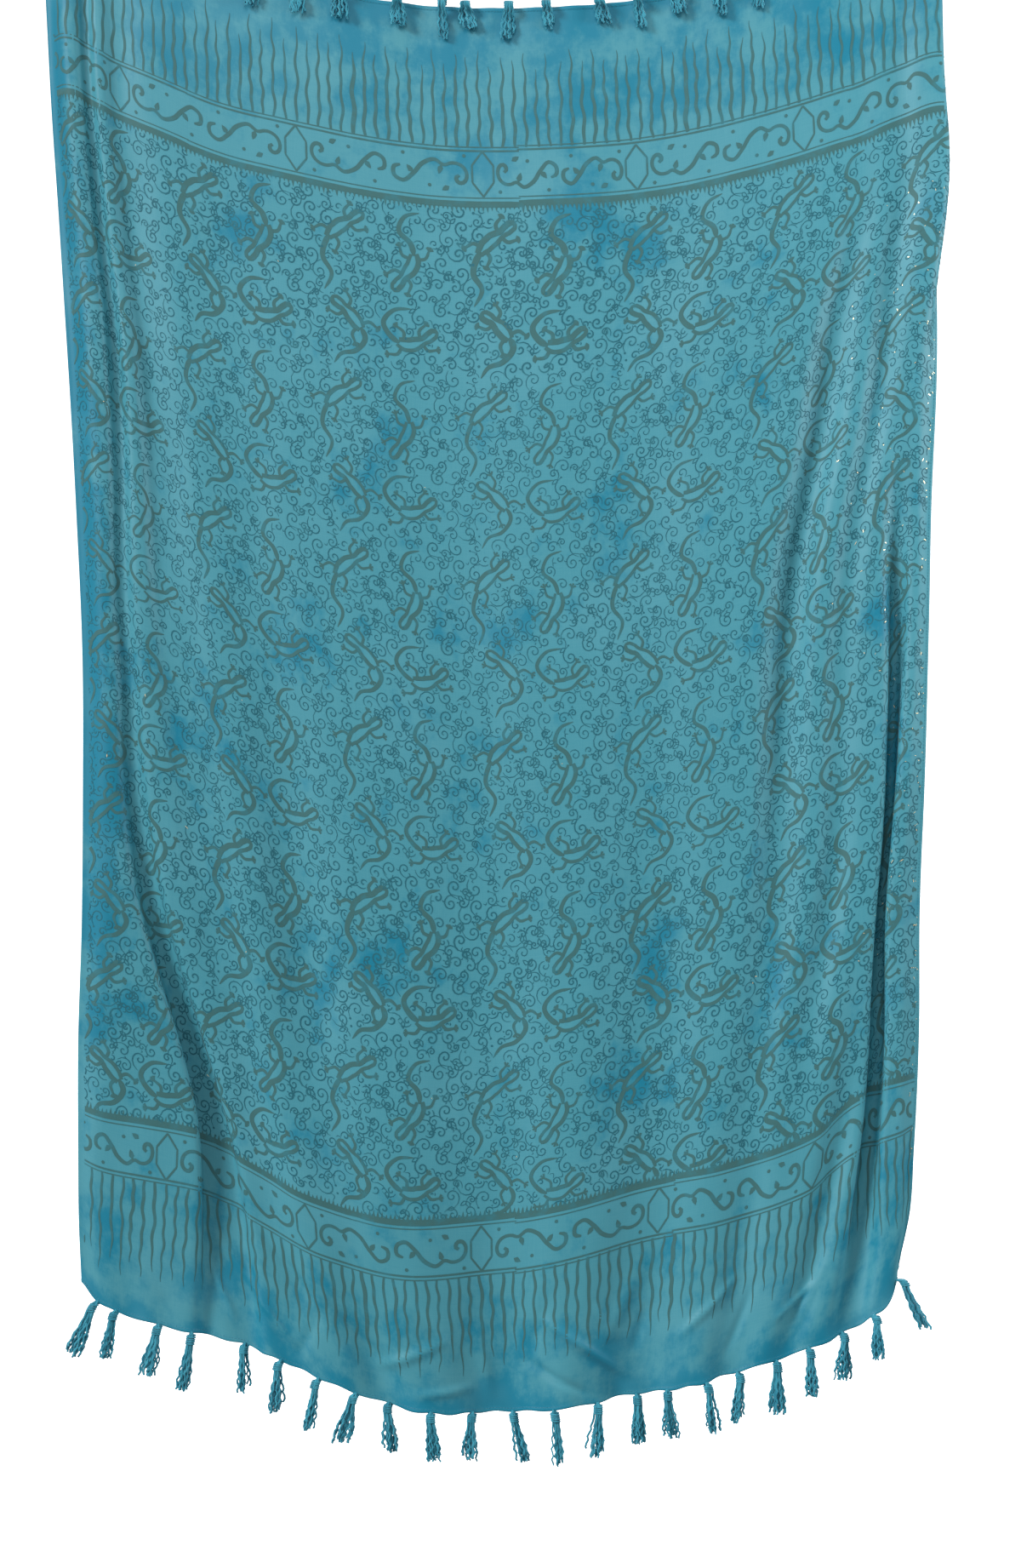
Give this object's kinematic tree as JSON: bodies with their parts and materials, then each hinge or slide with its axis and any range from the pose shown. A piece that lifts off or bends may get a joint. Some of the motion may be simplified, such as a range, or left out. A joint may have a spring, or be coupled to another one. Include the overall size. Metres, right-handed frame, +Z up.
{
  "type": "batik sarong",
  "caption": "Rectangular wrap cloth of thin rayon with tasselled hems, hanging by its upper corners.",
  "frame": {"origin": "midway between the two held points of the top hem, at the cloth's mean depth there", "axes": "+X along the hem to the right as the printed face is seen, +Y away from the printed face, +Z up"},
  "size_m": [1.0704, 0.052, 1.8517],
  "materials": {
    "rayon_turquoise": "soft satin, printed",
    "fringe_yarn": "matte loose yarn"
  },
  "bodies": {
    "root": {"cloth": "rayon_turquoise", "tassel_bottom_01": "fringe_yarn", "tassel_bottom_02": "fringe_yarn", "tassel_bottom_03": "fringe_yarn", "tassel_bottom_04": "fringe_yarn", "tassel_bottom_05": "fringe_yarn", "tassel_bottom_06": "fringe_yarn", "tassel_bottom_07": "fringe_yarn", "tassel_bottom_08": "fringe_yarn", "tassel_bottom_09": "fringe_yarn", "tassel_bottom_10": "fringe_yarn", "tassel_bottom_11": "fringe_yarn", "tassel_bottom_12": "fringe_yarn", "tassel_bottom_13": "fringe_yarn", "tassel_bottom_14": "fringe_yarn", "tassel_bottom_15": "fringe_yarn", "tassel_bottom_16": "fringe_yarn", "tassel_bottom_17": "fringe_yarn", "tassel_bottom_18": "fringe_yarn", "tassel_bottom_19": "fringe_yarn", "tassel_bottom_20": "fringe_yarn", "tassel_bottom_21": "fringe_yarn", "tassel_bottom_22": "fringe_yarn", "tassel_bottom_23": "fringe_yarn", "tassel_top_01": "fringe_yarn", "tassel_top_02": "fringe_yarn", "tassel_top_03": "fringe_yarn", "tassel_top_04": "fringe_yarn", "tassel_top_05": "fringe_yarn", "tassel_top_06": "fringe_yarn", "tassel_top_07": "fringe_yarn", "tassel_top_08": "fringe_yarn", "tassel_top_09": "fringe_yarn", "tassel_top_10": "fringe_yarn", "tassel_top_11": "fringe_yarn", "tassel_top_12": "fringe_yarn", "tassel_top_13": "fringe_yarn", "tassel_top_14": "fringe_yarn", "tassel_top_15": "fringe_yarn", "tassel_top_16": "fringe_yarn", "tassel_top_17": "fringe_yarn", "tassel_top_18": "fringe_yarn", "tassel_top_19": "fringe_yarn", "tassel_top_20": "fringe_yarn", "tassel_top_21": "fringe_yarn", "tassel_top_22": "fringe_yarn", "tassel_top_23": "fringe_yarn"}
  },
  "joints": []
}
